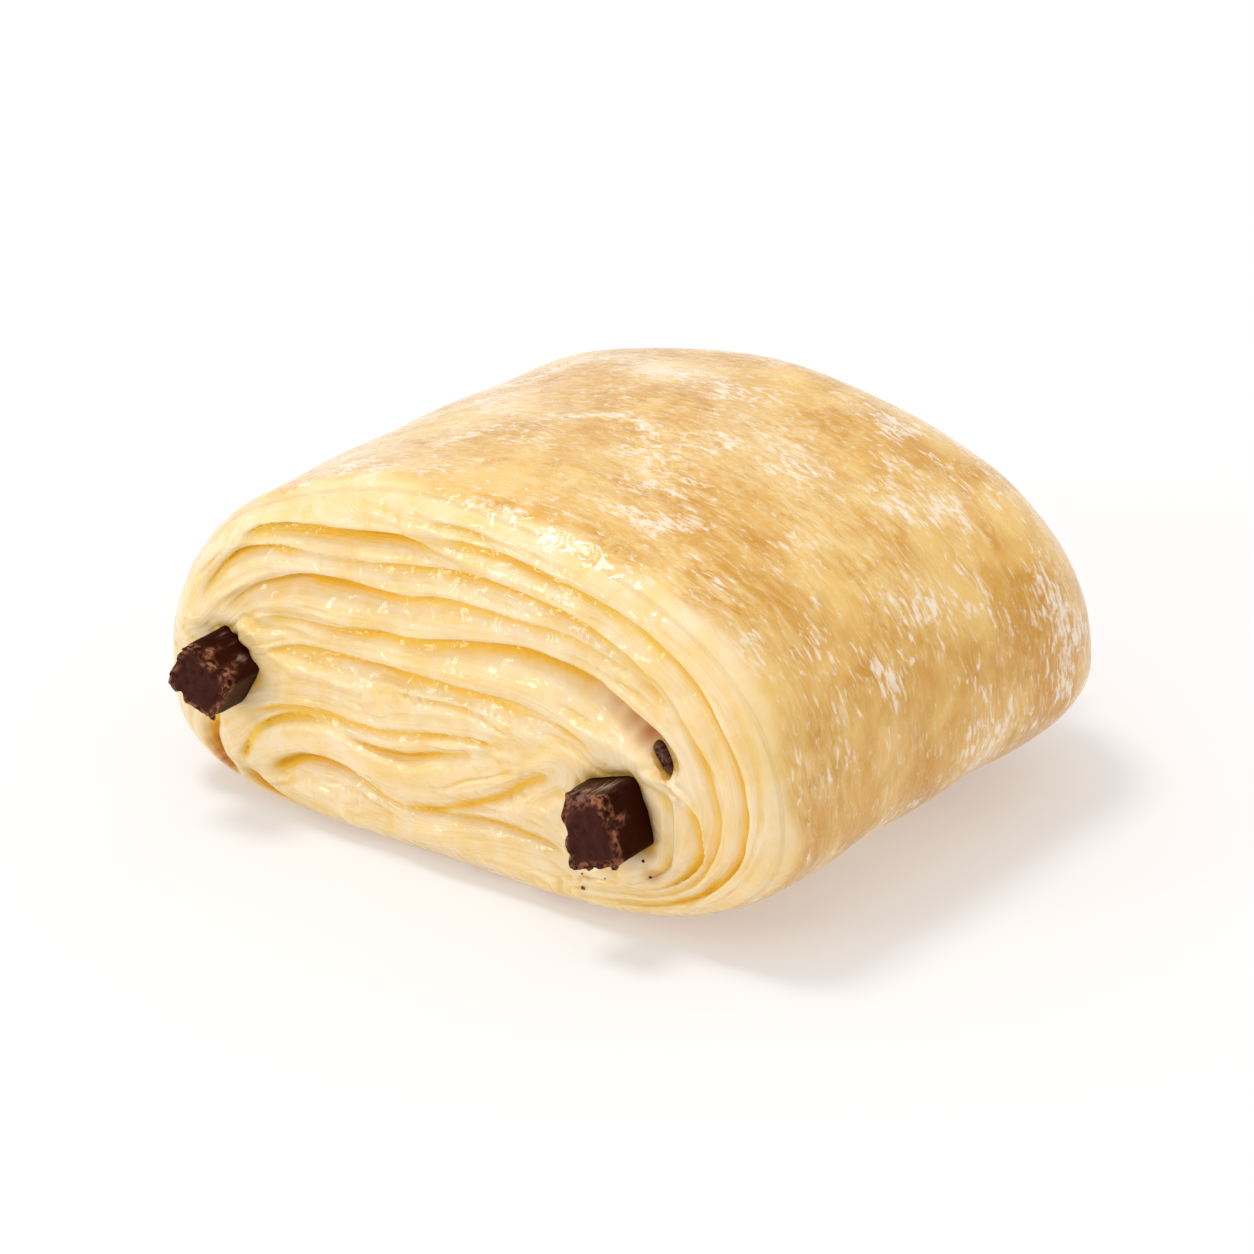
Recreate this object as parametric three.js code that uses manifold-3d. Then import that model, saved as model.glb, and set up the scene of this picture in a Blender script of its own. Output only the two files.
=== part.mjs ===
// An unbaked pain au chocolat: a laminated dough roll, wrapped round two sticks of chocolate that
// run through it along Y, with a broken piece of a third stick wedged between the wraps at the front.
// Millimetres, +Z up. The origin is on the floor under the middle of the piece. The front end, where the
// wraps and the sticks show, faces -Y.
import * as THREE from 'three';
import { mergeVertices } from 'three/addons/utils/BufferGeometryUtils.js';
import Module from 'manifold-3d';

const wasm = await Module();
wasm.setup();

// ---- driving dimensions of the dough roll ----
const ROLL = {
  middle: -0.8, // where the roll's middle lies along X
  halfWidth: 36.3,
  height: 38,
  belly: 14.1, // height of the widest line
  sink: 0.2, // how far the round underside would reach below the floor
  front: -29, // where the two ends of the dough lie along Y
  back: 30.2,
  frontShoulder: 4.5, // rounding of the front end's edge
  backShoulderTop: 11, // the back end is rounder, most of all at its sides
  backShoulderSide: 13.4,
  backDroop: 0.125, // share of its height that the roll loses at the back
  backSpread: 0.02, // share of its width that it gains there
  droopPower: 3,
};
// How square the section is: a power of 2 is an ellipse, and more is squarer.
const SQUARENESS = { topLeft: 1.93, topRight: 2.25, underLeft: 3.7, underRight: 2.35 };
const FACE_CROWN = 0.9; // how far the middle of an end stands out
const CROWN_POWER = 0.5; // below 1, so that the crown rises early and is flat in the middle
const SHOULDER_TURN = THREE.MathUtils.degToRad(50); // the part of an end's rounding that the skin covers
const END_FADE = { from: 0.2, to: 0.75 }; // share of the shoulder over which an end's folds begin
const LUMPS = {
  broad: 0.22, // heights of the two waves that make the dough uneven
  fine: 0.14,
  onEnds: 0.5, // share of them that the ends show
  sideways: 0.8, // share of them that widens the roll
  rootHeight: 6, // height over which they begin, as the tray holds the underside flat
};

// ---- the sticks of chocolate ----
const STICK_LENGTH = 70;
const STICK_GAP = 0.3; // air round a stick in its tunnel
const STICK_CORNER = 5; // power of the stick's rounded square section
const STICKS = [
  { name: 'chocolate_stick_right', x: 17.9, z: 12.6, width: 5.9, height: 6.7, turn: 17 },
  { name: 'chocolate_stick_left', x: -27.2, z: 14.7, width: 5.9, height: 5.3, turn: -30 },
];
const STICK_BREAK = 0.9; // how uneven the broken ends are
const BREAK_WAVES = { across: 1.9, up: 1.6, skew: 1.3 }; // radians per millimetre on a broken end
const SOCKET_RIM = 2; // width of the rounded rim where a stick comes out of the dough
const SOCKET_CORNER = 1;
const SOCKET_DEPTH = 1.2;
const CUT_OVERRUN = 5; // how far the tunnels are cut past the sticks' ends

// ---- the broken piece of a third stick, in a slit between two wraps ----
const FRAGMENT = {
  x: 22.2, z: 18.8, width: 2.3, height: 3.6, turn: 38, front: -28.2, back: -17, mouth: -40,
};

// ---- the folds on the ends ----
// Each fold is a smooth curve through its stations (x, z, depth). The dough outside the curve hangs over
// it as a rounded lip, and the next layer slopes out of the fold over the width of the fold's floor.
const LIP_WIDTH = 1.7;
const FOLD_LEAN = 0.3; // how far a fold's bottom runs in under its lip, as a share of its depth
const LEAN_RADIUS = 6; // within this distance of the roll's middle the folds lean less
const FOLD_CURVE = 1.7; // power of the curve that both of a fold's sides follow
const FOLD_JOIN = 3; // power that joins neighbouring folds
const FOLD_END = 2.5; // length over which a fold runs out at both its ends
const FOLD_BLUR = 0.55; // radius of the soft average that suits the folds to the size of the facets
const FOLDS = {
  skinSlit: { floor: 2.6, stations: [[-27, 26.7, 0], [-17.8, 30.9, 1.8], [-7, 32.5, 2.4], [1, 31.9, 0]] },
  outerWrap: {
    floor: 2.6,
    stations: [[-6, 34, 0], [6, 33.7, 1.5], [15.6, 32.3, 1], [25.7, 27.3, 1.1], [30.9, 18, 1.7],
      [30.2, 10.8, 2], [21, 3.9, 0.8]],
  },
  secondWrap: {
    floor: 2.6,
    stations: [[-31.7, 19.4, 0.5], [-26.2, 25.9, 1.6], [-16.6, 28.5, 0.7], [2.4, 30.7, 1.4],
      [15.5, 29.3, 1], [23.2, 25.1, 0.9], [28.3, 15.5, 1.4], [27.6, 10.8, 1.4], [21, 4.9, 0.8]],
  },
  thirdWrap: {
    floor: 3.6,
    stations: [[-28.5, 19.8, 0.3], [-21, 24.5, 1.9], [-13, 26.3, 3], [-2, 27.8, 1.1], [11.7, 28.2, 1.1],
      [20.9, 25.8, 0.8], [24, 23.5, 0.3]],
  },
  cave: {
    floor: 5.5,
    stations: [[-24, 20.4, 0.9], [-14.2, 21.6, 0.9], [1.4, 24.2, 1.8], [14.5, 24, 3.2],
      [22.4, 20.6, 3.6], [24.4, 17, 0.8]],
  },
  coreTop: {
    floor: 3,
    stations: [[-24, 17, 0.7], [-14.2, 18.9, 1.5], [-7.5, 19.2, 1.8], [4.2, 19.9, 1.1], [16.3, 18, 0.4]],
  },
  coreMiddle: {
    floor: 2.2,
    stations: [[-29.5, 7.2, 0.9], [-22.5, 11.7, 1.1], [-7.6, 13.1, 0.9], [6.4, 15.8, 0.3]],
  },
  curlBack: {
    floor: 2.2,
    stations: [[-26.5, 4.4, 1.6], [-23.1, 9.8, 1.8], [-16.3, 12.1, 0.7], [-10.6, 10.9, 1.3],
      [-3.1, 12.3, 1.3], [2.7, 14.1, 0.3]],
  },
  curlHollow: {
    floor: 3.4,
    stations: [[-23.3, 4.6, 1.2], [-18.5, 7.4, 2.4], [-7.8, 6.1, 1.1], [0.6, 8.7, 1.3], [7.5, 12.9, 1.2],
      [11, 14.7, 0.4]],
  },
  underFold: { floor: 2.2, stations: [[-6, 6.1, 0.6], [2.5, 7.5, 1.1], [12.6, 6.5, 0.4]] },
  rightGap: {
    floor: 1.6,
    stations: [[24.5, 16.6, 0.7], [26.4, 12.5, 1.8], [24.9, 8.5, 1.8], [18.8, 4.8, 0.6]],
  },
};

// ---- how finely the dough is divided ----
const CELLS = { across: 56, along: 10, up: 30 };
const STRAIGHT_SHARE = 0.6; // share of the rows along Y that lies between the two shoulders
const CORNER_SLOPE = 0.62; // spreads the cells evenly round the flat section
const STICK_CELLS = { across: 5, along: 14, up: 5 };
const CURVE_STEPS = 5; // straight pieces to each station of a fold
const WELD = 1e-4; // vertices closer than this are one

const { clamp, degToRad, lerp, smoothstep } = THREE.MathUtils;

// Half the section's size in the direction of an angle, from the widest line's middle.
function sectionRadius(angle) {
  const cos = Math.cos(angle);
  const sin = Math.sin(angle);
  const rightness = (1 + cos) / 2;
  const above = sin > 0;
  const rise = above ? ROLL.height - ROLL.belly : ROLL.belly + ROLL.sink;
  const power = above
    ? lerp(SQUARENESS.topLeft, SQUARENESS.topRight, rightness)
    : lerp(SQUARENESS.underLeft, SQUARENESS.underRight, rightness);
  return (Math.abs(cos / ROLL.halfWidth) ** power + Math.abs(sin / rise) ** power) ** (-1 / power);
}

// The slow unevenness of hand-rolled dough, in millimetres: waves of 17 to 40 mm along each axis.
function lumps(x, y, z) {
  return LUMPS.broad * Math.sin(0.21 * x + 0.13 * y + 1.1) * Math.cos(0.17 * y - 0.19 * z + 0.4)
    + LUMPS.fine * Math.sin(0.37 * y + 0.29 * z + 0.16 * x + 2.3);
}

const folds = Object.values(FOLDS).map(({ floor, stations }) => {
  const points = stations.map((station) => new THREE.Vector3(...station));
  const curve = new THREE.CatmullRomCurve3(points, false, 'catmullrom');
  const line = curve.getPoints(CURVE_STEPS * stations.length);
  const first = line[0].clone();
  const last = line[line.length - 1].clone();
  for (const point of line) {
    const fromFirst = Math.hypot(point.x - first.x, point.y - first.y);
    const fromLast = Math.hypot(point.x - last.x, point.y - last.y);
    point.z *= smoothstep(Math.min(fromFirst, fromLast), 0, FOLD_END);
  }
  return { floor, line };
});

// A fold's depth at a signed distance from its curve, positive on the lip's side.
function foldProfile(side, depth, floor) {
  const share = side > 0 ? 1 - side / LIP_WIDTH : 1 + side / floor;
  return depth * clamp(share, 0, 1) ** FOLD_CURVE;
}

// How deep the folds are at a point of an end.
function foldDepth(x, z) {
  let sum = 0;
  for (const { floor, line } of folds) {
    let nearest = { distance: Infinity, side: 0, depth: 0 };
    for (let i = 1; i < line.length; i += 1) {
      const from = line[i - 1];
      const to = line[i];
      const runX = to.x - from.x;
      const runZ = to.y - from.y;
      const along = clamp(((x - from.x) * runX + (z - from.y) * runZ) / (runX ** 2 + runZ ** 2), 0, 1);
      const offX = x - from.x - along * runX;
      const offZ = z - from.y - along * runZ;
      const distance = Math.hypot(offX, offZ);
      if (distance < nearest.distance) {
        const side = distance * Math.sign(runX * offZ - runZ * offX);
        nearest = { distance, side, depth: Math.max(lerp(from.z, to.z, along), 0) };
      }
    }
    sum += foldProfile(nearest.side, nearest.depth, floor) ** FOLD_JOIN;
  }
  return sum ** (1 / FOLD_JOIN);
}

// The same, averaged over five points.
function softFoldDepth(x, z) {
  const offsets = [[0, 0], [FOLD_BLUR, 0], [-FOLD_BLUR, 0], [0, FOLD_BLUR], [0, -FOLD_BLUR]];
  return offsets.reduce((sum, [dx, dz]) => sum + foldDepth(x + dx, z + dz), 0) / offsets.length;
}

// How deep the rounded rim round a stick is at a point of an end.
function socketDepth(stick, x, z) {
  const turn = degToRad(stick.turn);
  const acrossX = (x - stick.x) * Math.cos(turn) + (z - stick.z) * Math.sin(turn);
  const upZ = (z - stick.z) * Math.cos(turn) - (x - stick.x) * Math.sin(turn);
  const outX = Math.max(Math.abs(acrossX) - stick.width / 2 + SOCKET_CORNER, 0);
  const outZ = Math.max(Math.abs(upZ) - stick.height / 2 + SOCKET_CORNER, 0);
  const share = clamp(1 - (Math.hypot(outX, outZ) - SOCKET_CORNER) / SOCKET_RIM, 0, 1);
  return SOCKET_DEPTH * (1 - Math.cos(share * Math.PI / 2));
}

// Turns a point of the cube from -1 to 1 into a point of the dough. The cube's faces at y = -1 and 1
// become the ends and its other four faces the skin.
function doughPoint(cube) {
  const ring = Math.max(Math.abs(cube.x), Math.abs(cube.z));
  const isFront = cube.y < 0;
  const isEnd = Math.abs(cube.y) > 1 - WELD;
  const angle = Math.atan2(cube.z * CORNER_SLOPE, cube.x);
  const cos = Math.cos(angle);
  const sin = Math.sin(angle);
  const radius = sectionRadius(angle);
  const shoulder = isFront
    ? ROLL.frontShoulder
    : lerp(ROLL.backShoulderTop, ROLL.backShoulderSide, cos * cos);
  const end = isFront ? ROLL.front : ROLL.back;
  const inward = isFront ? 1 : -1;

  // How far in from the skin the point lies, and how far in from the end.
  let inset;
  let setback;
  if (isEnd) {
    const startInset = shoulder * (1 - Math.cos(SHOULDER_TURN));
    inset = lerp(radius, startInset, ring);
    const rounding = clamp(1 - inset / shoulder, 0, 1);
    setback = shoulder * (1 - Math.sqrt(1 - rounding * rounding));
  } else {
    const share = Math.abs(cube.y);
    const turn = clamp((share - STRAIGHT_SHARE) / (1 - STRAIGHT_SHARE), 0, 1) * SHOULDER_TURN;
    inset = shoulder * (1 - Math.cos(turn));
    setback = shoulder * (1 - Math.sin(turn));
    if (share < STRAIGHT_SHARE) {
      setback = lerp(Math.abs(end), shoulder, share / STRAIGHT_SHARE);
    }
  }

  const lengthShare = (end + inward * setback - ROLL.front) / (ROLL.back - ROLL.front);
  const droop = lengthShare ** ROLL.droopPower;
  let x = ROLL.middle + (radius - inset) * cos * (1 + ROLL.backSpread * droop);
  let z = (ROLL.belly + (radius - inset) * sin) * (1 - ROLL.backDroop * droop);
  let y = end + inward * setback;

  // The folds and sockets, which fade out over the shoulder.
  const endShare = smoothstep(inset, END_FADE.from * shoulder, END_FADE.to * shoulder);
  if (endShare > 0) {
    const fold = softFoldDepth(x, z) * endShare;
    const reach = Math.max(Math.hypot(x - ROLL.middle, z - ROLL.belly), LEAN_RADIUS);
    x += FOLD_LEAN * fold * (x - ROLL.middle) / reach;
    z += FOLD_LEAN * fold * (z - ROLL.belly) / reach;
    const sockets = STICKS.reduce((depth, stick) => Math.max(depth, socketDepth(stick, x, z)), 0);
    const crown = FACE_CROWN * endShare * clamp(inset / radius, 0, 1) ** CROWN_POWER;
    y += inward * (fold + sockets * endShare - crown);
  }

  const swell = lumps(x, y, z) * lerp(1, LUMPS.onEnds, endShare);
  x += LUMPS.sideways * swell * cos;
  z = Math.max(z + swell * sin * clamp(z / LUMPS.rootHeight, 0, 1), 0);
  return new THREE.Vector3(x, y, z);
}

// Divides a cube and moves its vertices, for both the dough and the sticks.
function shapedCube(cells, move) {
  const geometry = new THREE.BoxGeometry(2, 2, 2, cells.across, cells.along, cells.up);
  geometry.deleteAttribute('normal');
  geometry.deleteAttribute('uv');
  const welded = mergeVertices(geometry, WELD);
  const positions = welded.attributes.position;
  for (let i = 0; i < positions.count; i += 1) {
    const moved = move(new THREE.Vector3().fromBufferAttribute(positions, i));
    positions.setXYZ(i, moved.x, moved.y, moved.z);
  }
  return welded;
}

// A stick's rounded square section with its two ends broken unevenly. grow adds air all round.
function stickGeometry(stick, from, to, grow = 0, breaks = STICK_BREAK) {
  const turn = degToRad(stick.turn);
  return shapedCube(STICK_CELLS, (cube) => {
    const size = Math.max(Math.abs(cube.x), Math.abs(cube.z));
    const round = size > 0
      ? size / (Math.abs(cube.x) ** STICK_CORNER + Math.abs(cube.z) ** STICK_CORNER) ** (1 / STICK_CORNER)
      : 0;
    const acrossX = cube.x * round * (stick.width / 2 + grow);
    const upZ = cube.z * round * (stick.height / 2 + grow);
    // The unevenness, from 0 to 1, shortens each end and fades out towards the stick's middle.
    const acrossWave = Math.sin(BREAK_WAVES.across * acrossX + stick.x);
    const upWave = Math.sin(BREAK_WAVES.up * upZ + BREAK_WAVES.skew * acrossX);
    const uneven = (2 + acrossWave + upWave) / 4;
    const y = lerp(from, to, (cube.y + 1) / 2) - breaks * uneven * cube.y;
    return new THREE.Vector3(
      stick.x + acrossX * Math.cos(turn) - upZ * Math.sin(turn),
      y,
      stick.z + acrossX * Math.sin(turn) + upZ * Math.cos(turn),
    );
  });
}

function toSolid(geometry) {
  return new wasm.Manifold(new wasm.Mesh({
    numProp: 3,
    vertProperties: new Float32Array(geometry.attributes.position.array),
    triVerts: new Uint32Array(geometry.index.array),
  }));
}

function toGeometry(solid) {
  const mesh = solid.getMesh();
  const geometry = new THREE.BufferGeometry();
  geometry.setAttribute('position', new THREE.BufferAttribute(mesh.vertProperties, 3));
  geometry.setIndex(new THREE.BufferAttribute(mesh.triVerts, 1));
  geometry.computeVertexNormals();
  return geometry;
}

const doughMaterial = new THREE.MeshStandardMaterial({ color: 0xe6c878, roughness: 0.42, metalness: 0 });
const chocolateMaterial = new THREE.MeshStandardMaterial({ color: 0x38201a, roughness: 0.45, metalness: 0 });

function namedMesh(name, geometry, material) {
  const mesh = new THREE.Mesh(geometry, material.clone());
  mesh.name = name;
  return mesh;
}

// The dough: the shaped roll less the tunnels of the sticks and the pocket of the broken piece.
function makeDough() {
  const tunnelEnd = STICK_LENGTH / 2 + CUT_OVERRUN;
  const tunnels = STICKS.map((stick) => stickGeometry(stick, -tunnelEnd, tunnelEnd, STICK_GAP, 0));
  const pocket = stickGeometry(FRAGMENT, FRAGMENT.mouth, FRAGMENT.back + STICK_GAP, STICK_GAP, 0);
  const cuts = [...tunnels, pocket].map(toSolid);
  const roll = toSolid(shapedCube(CELLS, doughPoint));
  return toGeometry(cuts.reduce((solid, cut) => solid.subtract(cut), roll));
}

const group = new THREE.Group();
group.add(namedMesh('dough', makeDough(), doughMaterial));
for (const stick of STICKS) {
  const geometry = stickGeometry(stick, -STICK_LENGTH / 2, STICK_LENGTH / 2);
  group.add(namedMesh(stick.name, geometry, chocolateMaterial));
}
const fragmentGeometry = stickGeometry(FRAGMENT, FRAGMENT.front, FRAGMENT.back);
group.add(namedMesh('chocolate_fragment', fragmentGeometry, chocolateMaterial));

// The lumps leave the box a little off centre.
group.position.x = -new THREE.Box3().setFromObject(group).getCenter(new THREE.Vector3()).x;

export default group;
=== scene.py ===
import itertools
import math

import bmesh
import bpy
import numpy as np
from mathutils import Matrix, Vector
from mathutils.bvhtree import BVHTree


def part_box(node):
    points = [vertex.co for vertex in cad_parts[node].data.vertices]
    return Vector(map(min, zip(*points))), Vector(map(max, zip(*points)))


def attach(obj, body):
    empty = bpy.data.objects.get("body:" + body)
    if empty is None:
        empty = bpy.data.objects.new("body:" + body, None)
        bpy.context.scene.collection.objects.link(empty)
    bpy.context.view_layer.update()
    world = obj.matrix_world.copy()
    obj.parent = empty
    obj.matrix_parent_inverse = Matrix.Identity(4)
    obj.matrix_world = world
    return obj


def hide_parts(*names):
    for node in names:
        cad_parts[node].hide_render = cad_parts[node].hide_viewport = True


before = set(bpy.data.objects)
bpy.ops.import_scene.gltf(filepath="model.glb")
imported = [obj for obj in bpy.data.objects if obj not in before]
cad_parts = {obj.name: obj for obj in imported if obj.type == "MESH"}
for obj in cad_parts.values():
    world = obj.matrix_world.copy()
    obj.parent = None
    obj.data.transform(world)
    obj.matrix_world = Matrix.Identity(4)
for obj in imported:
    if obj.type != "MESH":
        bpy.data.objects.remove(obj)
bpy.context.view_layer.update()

MM = 0.001
TINY = 1e-6


# ---------------------------------------------------------------- sizes

def middle_of(node):
    """The middle of a CAD node's box, in millimetres."""
    low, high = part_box(node)
    return (np.array(low) + np.array(high)) / 2 / MM


RIGHT_MIDDLE = middle_of("chocolate_stick_right")
LEFT_MIDDLE = middle_of("chocolate_stick_left")
FRAGMENT_MIDDLE = middle_of("chocolate_fragment")
STICK_HALF_LENGTH = float(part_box("chocolate_stick_right")[1].y) / MM

# The sticks and the broken piece: turn is the section's angle in degrees. The piece runs from its front to
# its back along Y, and up to its neck only a thin tongue of it stands in the slit, with TONGUE_WIDTH and
# TONGUE_HEIGHT of the piece's own size.
RIGHT_STICK = dict(x=RIGHT_MIDDLE[0], z=RIGHT_MIDDLE[2], width=5.9, height=6.7, turn=17.0)
LEFT_STICK = dict(x=LEFT_MIDDLE[0], z=LEFT_MIDDLE[2], width=5.9, height=5.3, turn=-30.0)
FRAGMENT = dict(x=FRAGMENT_MIDDLE[0], z=FRAGMENT_MIDDLE[2], width=2.3, height=3.6, turn=38.0)
FRAGMENT_FRONT = -28.7
FRAGMENT_NECK = -25.4
FRAGMENT_BACK = -17.0
TONGUE_WIDTH = 0.42
TONGUE_HEIGHT = 0.88
SLIT = dict(FRAGMENT, width=1.0, height=3.5)

# The air between a stick and its tunnel, which is cut PAST_THE_END beyond the stick. The higher its corner
# power is, the squarer is a section.
STICK_GAP = 0.07
PAST_THE_END = 5
STICK_CORNER_POWER = 10
TUNNEL_CORNER_POWER = 6
FRAGMENT_CORNER_POWER = 3
SLIT_CORNER_POWER = 2.2

# Edges sharper than this angle in degrees are shaded as edges.
DOUGH_SHARP_ANGLE = 55
CHOCOLATE_SHARP_ANGLE = 40

# The roll's section, its two ends and their rounding. The section and all that lies on the ends are given in
# the roll's own frame, where the right stick stands at OWN_RIGHT_X, and SHIFT_X moves them to the part's.
# BELLY is the height of the widest line, and SINK how far the floor cuts into the round of the underside. The
# back end droops and spreads by shares of its size. The squareness of the section's outline, as the power of
# a superellipse, is given at the left and at the right. FACE_CROWN is how far the ends bulge.
OWN_RIGHT_X = 17.9
SHIFT_X = RIGHT_STICK["x"] - OWN_RIGHT_X
MIDDLE = -0.8
HALF_WIDTH = 36.3
HEIGHT = 38.0
BELLY = 14.1
SINK = 0.2
FRONT = -29.0
BACK = 30.2
FRONT_SHOULDER = 4.5
BACK_SHOULDER_TOP = 11.0
BACK_SHOULDER_SIDE = 13.4
BACK_DROOP = 0.125
BACK_SPREAD = 0.02
DROOP_POWER = 3
TOP_SQUARENESS = (1.93, 2.25)
UNDER_SQUARENESS = (3.7, 2.35)
FACE_CROWN = 0.9

# How far the skin turns before the end's own surface takes over, and where on the shoulder the folds of the
# end fade in, as shares of its radius. SKIN_RADIUS turns an angle round the roll into millimetres.
SHOULDER_TURN = math.radians(50)
SHOULDER_FADE = (0.2, 0.75)
SKIN_RADIUS = 26

# The rounded rim where the dough meets a stick, and the brown and the deeper yellow on it. The brown is
# chocolate rubbed off on it and painted shade where the dough meets the stick; the yellow is painted shade.
SOCKET_RIM = 1.4
SOCKET_CORNER = 1.0
SOCKET_DEPTH = 0.5
RUBBED_OFF_AND_SHADE = 0.32
SOCKET_SHADE = 0.6

# How finely the pieces are divided: cells across, along and up. The dough's cells on the shown end are halved
# once more.
CELLS = (168, 30, 92)
STICK_CELLS = (34, 70, 34)
FRAGMENT_CELLS = (12, 30, 16)
TUNNEL_CELLS = (10, 2, 10)

# The dough is shaped from a cube. STRAIGHT_SHARE of its length becomes the skin between the shoulders,
# CORNER_SLOPE is the slope at which its long edges lie on the section, and the shown end is softened at last.
STRAIGHT_SHARE = 0.5
CORNER_SLOPE = 0.62
SOFTENINGS = 2

# The dough is painted a deeper yellow in hollows, as shade: how often the relief is evened out to compare it
# with, and the depth below the evened surface that counts as a full hollow. The result is evened out too.
HOLLOWS = [(100, 0.75), (12, 0.3)]
HOLLOW_PASSES = 4

# The skin's colour starts so far behind an end, in an uneven line.
SKIN_START = (1.2, 3.8)
SKIN_START_WANDER = 1.6

# The wrinkles along the folds, the thin lines between them, the wander of both, and the soft swells of the
# ends as height, bumps per millimetre along x, z and y, and a seed.
WRINKLES_PER_MM = 0.85
WRINKLE_HEIGHT = 0.3
WRINKLE_WANDER = 0.6
WRINKLE_RUN = 0.07
LINE_HEIGHT = 0.4
LINE_WIDTH = 0.3
SOFT_SWELLS = [(0.25, 0.2, 0.3, 0.05, 9.0), (0.1, 0.6, 0.8, 0.05, 12.0)]

# The small unevenness of the skin, all round and along its foot, which is at most FOOT_HEIGHT high. Sideways
# it counts for SWELL_ACROSS of its height, and below LOW_SKIN it no longer lifts the skin in full.
SKIN_BUMP = 0.16
FOOT_BUMP = 0.35
FOOT_HEIGHT = 12
SWELL_ACROSS = 0.8
LOW_SKIN = 6

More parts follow.
